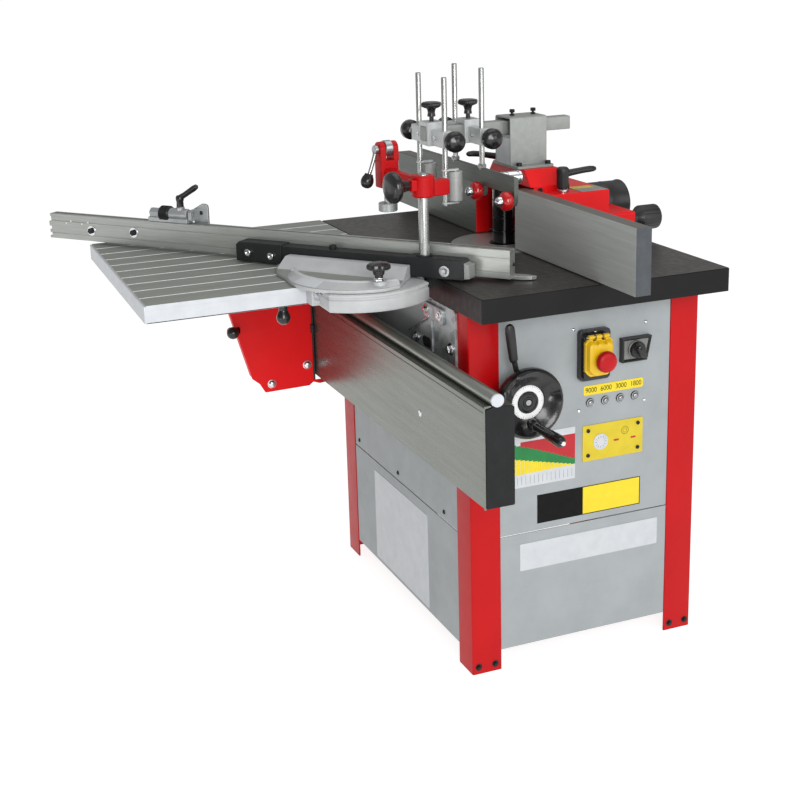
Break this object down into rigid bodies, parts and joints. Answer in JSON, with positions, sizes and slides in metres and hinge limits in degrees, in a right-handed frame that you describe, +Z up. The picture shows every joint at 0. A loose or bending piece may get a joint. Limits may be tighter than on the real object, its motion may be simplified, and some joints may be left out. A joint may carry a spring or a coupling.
{
  "type": "spindle moulder",
  "caption": "Floor-standing spindle moulder with cast table, red legs, sliding table on a side beam, angled mitre fence with hold-down, split fence, hood, roller pressers and a handwheel lift.",
  "frame": {"origin": "centre of the bounding box footprint, on the floor", "axes": "+X along the fence towards the control panel end, +Y from the operator towards the back, +Z up"},
  "size_m": [1.226, 1.2712, 1.267],
  "materials": {
    "painted_red": "semi-gloss paint",
    "panel_grey": "fine textured paint",
    "table_black": "ground and blackened",
    "cast_grey": "painted casting",
    "alu": "anodised",
    "steel": "turned",
    "galvanised": "zinc plated",
    "bright_bar": "hardened bright bar",
    "black_steel": "blackened",
    "black_plastic": "moulded",
    "red_plastic": "moulded",
    "yellow_plastic": "moulded",
    "green_plastic": "moulded",
    "plate_white": "printed plate",
    "belt": "ribbed",
    "roller_grey": "moulded"
  },
  "bodies": {
    "machine": {"cabinet_frame": "painted_red", "cabinet_panels": "panel_grey", "panel_screws": "black_steel", "table": "table_black", "table_rings": "cast_grey", "quill_guide": "cast_grey", "label_plates": "plate_white", "indicator_lamps": "bright_bar", "switch_bases": "black_plastic", "slide_beam": "galvanised", "beam_bars": "bright_bar", "beam_end_caps": "black_plastic", "beam_brackets": "galvanised"},
    "lift": {"spindle_quill": "steel", "motor": "cast_grey", "drive_belt": "belt"},
    "spindle": {"spindle_shaft": "steel", "spacer_rings": "black_steel"},
    "rotor": {"motor_pulley": "steel"},
    "screw": {"lift_screw": "steel"},
    "wheel": {"handwheel": "black_plastic", "handwheel_shaft": "steel"},
    "crank": {"crank_handle": "black_plastic"},
    "height_lock": {"height_lock_lever": "black_plastic"},
    "lid": {"switch_lid": "yellow_plastic"},
    "mushroom": {"stop_mushroom": "red_plastic"},
    "start": {"start_button": "green_plastic"},
    "rotary": {"rotary_knob": "black_plastic"},
    "carriage": {"sliding_table": "alu", "carriage_bracket": "painted_red", "quadrant_casting": "cast_grey"},
    "carriage_lock": {"carriage_lock_knob": "black_plastic"},
    "table_lock": {"table_lock_knob": "black_plastic"},
    "mitre": {"swivel_casting": "cast_grey", "mitre_bar": "black_steel", "mitre_fence": "alu", "hold_down_post": "bright_bar"},
    "mitre_lock": {"mitre_lock_knob": "black_plastic"},
    "flip_stop": {"flip_stop_block": "alu"},
    "flip_arm": {"flip_stop_arm": "alu"},
    "hold_down": {"hold_down_arm": "painted_red"},
    "arm_clamp": {"arm_clamp_knob": "black_plastic"},
    "cam_lever": {"hold_down_lever": "steel"},
    "hold_foot": {"hold_down_foot": "steel"},
    "hood": {"fence_hood": "painted_red", "presser_bracket": "galvanised"},
    "fence_right": {"fence_plate_right": "alu"},
    "fence_left": {"fence_plate_left": "alu"},
    "clamp_right": {"clamp_lever_right": "black_plastic"},
    "clamp_left": {"clamp_lever_left": "black_plastic"},
    "depth": {"depth_knob": "black_plastic"},
    "press_bar": {"presser_bar": "bright_bar"},
    "front_saddle": {"front_saddle": "steel"},
    "rear_saddle": {"rear_saddle": "steel"},
    "front_rods": {"front_presser_rods": "bright_bar"},
    "front_roller_l": {"front_roller_left": "roller_grey"},
    "front_roller_r": {"front_roller_right": "roller_grey"},
    "roller_bar": {"roller_bar": "steel"},
    "press_roller_l": {"press_roller_left": "red_plastic"},
    "press_roller_r": {"press_roller_right": "red_plastic"}
  },
  "joints": [
    {"name": "spindle_lift", "type": "slide", "parent": "machine", "child": "lift", "axis": [0, 0, 1], "range_m": [-0.1, 0]},
    {"name": "spindle_spin", "type": "hinge", "parent": "lift", "child": "spindle", "pos_m": [-0.021, 0.30555, 0.7], "axis": [0, 0, 1], "continuous": true},
    {"name": "motor_spin", "type": "hinge", "parent": "lift", "child": "rotor", "pos_m": [-0.213, 0.30555, 0.54], "axis": [0, 0, 1], "continuous": true},
    {"name": "lift_screw_turn", "type": "hinge", "parent": "machine", "child": "screw", "pos_m": [0.127, 0.14355, 0.52], "axis": [0, 0, 1], "range_deg": [-7202, 2]},
    {"name": "handwheel_turn", "type": "hinge", "parent": "machine", "child": "wheel", "pos_m": [0.405, 0.14355, 0.622], "axis": [1, 0, 0], "range_deg": [-7202, 2]},
    {"name": "crank_spin", "type": "hinge", "parent": "wheel", "child": "crank", "pos_m": [0.447, 0.15155, 0.575], "axis": [1, 0, 0], "continuous": true},
    {"name": "height_lock_turn", "type": "hinge", "parent": "machine", "child": "height_lock", "pos_m": [0.387, 0.14355, 0.622], "axis": [1, 0, 0], "range_deg": [-30, 30]},
    {"name": "switch_lid_swing", "type": "hinge", "parent": "machine", "child": "lid", "pos_m": [0.384, 0.32455, 0.732], "axis": [0, -1, 0], "range_deg": [0, 100]},
    {"name": "stop_mushroom_press", "type": "slide", "parent": "lid", "child": "mushroom", "axis": [1, 0, 0], "range_m": [-0.004, 0], "stiffness_N_per_m": 600},
    {"name": "start_button_press", "type": "slide", "parent": "machine", "child": "start", "axis": [1, 0, 0], "range_m": [-0.0025, 0], "stiffness_N_per_m": 600},
    {"name": "rotary_switch_turn", "type": "hinge", "parent": "machine", "child": "rotary", "pos_m": [0.377, 0.42355, 0.687], "axis": [1, 0, 0], "range_deg": [-60, 60]},
    {"name": "carriage_slide", "type": "slide", "parent": "machine", "child": "carriage", "axis": [1, 0, 0], "range_m": [-0.1, 0.7]},
    {"name": "carriage_lock_turn", "type": "hinge", "parent": "carriage", "child": "carriage_lock", "pos_m": [0.102, -0.27205, 0.79], "axis": [0, 0, 1], "range_deg": [-90, 90]},
    {"name": "table_lock_turn", "type": "hinge", "parent": "carriage", "child": "table_lock", "pos_m": [-0.366, -0.26185, 0.636], "axis": [1, 0, 0], "range_deg": [-90, 90]},
    {"name": "mitre_swing", "type": "hinge", "parent": "carriage", "child": "mitre", "pos_m": [0.146, -0.11745, 0.87], "axis": [0, 0, 1], "range_deg": [-39, 45]},
    {"name": "mitre_lock_turn", "type": "hinge", "parent": "mitre", "child": "mitre_lock", "pos_m": [0.27197, -0.12031, 0.88], "axis": [0, 0, 1], "range_deg": [-90, 90]},
    {"name": "flip_stop_slide", "type": "slide", "parent": "mitre", "child": "flip_stop", "axis": [0.7694, 0.6388, 0], "range_m": [-0.18, 0.18]},
    {"name": "flip_stop_lift", "type": "hinge", "parent": "flip_stop", "child": "flip_arm", "pos_m": [-0.2739, -0.36078, 0.946], "axis": [0.7694, 0.6388, 0], "range_deg": [0, 100]},
    {"name": "hold_down_height", "type": "slide", "parent": "mitre", "child": "hold_down", "axis": [0, 0, 1], "range_m": [-0.1, 0]},
    {"name": "arm_clamp_turn", "type": "hinge", "parent": "hold_down", "child": "arm_clamp", "pos_m": [0.22013, -0.04418, 1.056], "axis": [0.1184, -0.993, 0], "range_deg": [-90, 90]},
    {"name": "cam_lever_swing", "type": "hinge", "parent": "hold_down", "child": "cam_lever", "pos_m": [0.06328, -0.01253, 1.112], "axis": [-0.1184, 0.993, 0], "range_deg": [0, 100]},
    {"name": "hold_foot_slide", "type": "slide", "parent": "hold_down", "child": "hold_foot", "axis": [0, 0, 1], "range_m": [-0.0005, 0.0105]},
    {"name": "fence_depth", "type": "slide", "parent": "machine", "child": "hood", "axis": [0, 1, 0], "range_m": [-0.02, 0.05]},
    {"name": "fence_right_slide", "type": "slide", "parent": "hood", "child": "fence_right", "axis": [1, 0, 0], "range_m": [-0.02, 0.04]},
    {"name": "fence_left_slide", "type": "slide", "parent": "hood", "child": "fence_left", "axis": [1, 0, 0], "range_m": [-0.04, 0.02]},
    {"name": "clamp_right_turn", "type": "hinge", "parent": "hood", "child": "clamp_right", "pos_m": [0.116, 0.38455, 1.01], "axis": [0, 0, 1], "range_deg": [-40, 40]},
    {"name": "clamp_left_turn", "type": "hinge", "parent": "hood", "child": "clamp_left", "pos_m": [-0.158, 0.37055, 1.01], "axis": [0, 0, 1], "range_deg": [-40, 40]},
    {"name": "depth_knob_turn", "type": "hinge", "parent": "hood", "child": "depth", "pos_m": [0.107, 0.61455, 0.91], "axis": [0, 1, 0], "range_deg": [-2402, 6002]},
    {"name": "presser_bar_slide", "type": "slide", "parent": "hood", "child": "press_bar", "axis": [0, 1, 0], "range_m": [-0.04, 0.02]},
    {"name": "front_saddle_slide", "type": "slide", "parent": "press_bar", "child": "front_saddle", "axis": [0, 1, 0], "range_m": [-0.01, 0.0025]},
    {"name": "rear_saddle_slide", "type": "slide", "parent": "press_bar", "child": "rear_saddle", "axis": [0, 1, 0], "range_m": [-0.0025, 0.02]},
    {"name": "front_rods_slide", "type": "slide", "parent": "front_saddle", "child": "front_rods", "axis": [0, 0, 1], "range_m": [-0.05, 0.04]},
    {"name": "front_roller_left_spin", "type": "hinge", "parent": "front_rods", "child": "front_roller_l", "pos_m": [-0.091, 0.15405, 1.014], "axis": [0, 0, 1], "continuous": true},
    {"name": "front_roller_right_spin", "type": "hinge", "parent": "front_rods", "child": "front_roller_r", "pos_m": [0.049, 0.15405, 1.014], "axis": [0, 0, 1], "continuous": true},
    {"name": "roller_bar_slide", "type": "slide", "parent": "rear_saddle", "child": "roller_bar", "axis": [0, 0, 1], "range_m": [-0.02, 0.04]},
    {"name": "press_roller_left_spin", "type": "hinge", "parent": "roller_bar", "child": "press_roller_l", "pos_m": [0.055, 0.20155, 1], "axis": [0, 1, 0], "continuous": true},
    {"name": "press_roller_right_spin", "type": "hinge", "parent": "roller_bar", "child": "press_roller_r", "pos_m": [0.202, 0.20155, 1], "axis": [0, 1, 0], "continuous": true}
  ],
  "couplings": [
    {"joint": "lift_screw_turn", "follows": "spindle_lift", "rad_per_m": 1256.6},
    {"joint": "handwheel_turn", "follows": "spindle_lift", "rad_per_m": 1256.6},
    {"joint": "motor_spin", "follows": "spindle_spin", "ratio": 0.75},
    {"joint": "hold_foot_slide", "follows": "cam_lever_swing", "m_per_rad": 0.00573},
    {"joint": "depth_knob_turn", "follows": "fence_depth", "rad_per_m": 2094.4}
  ]
}
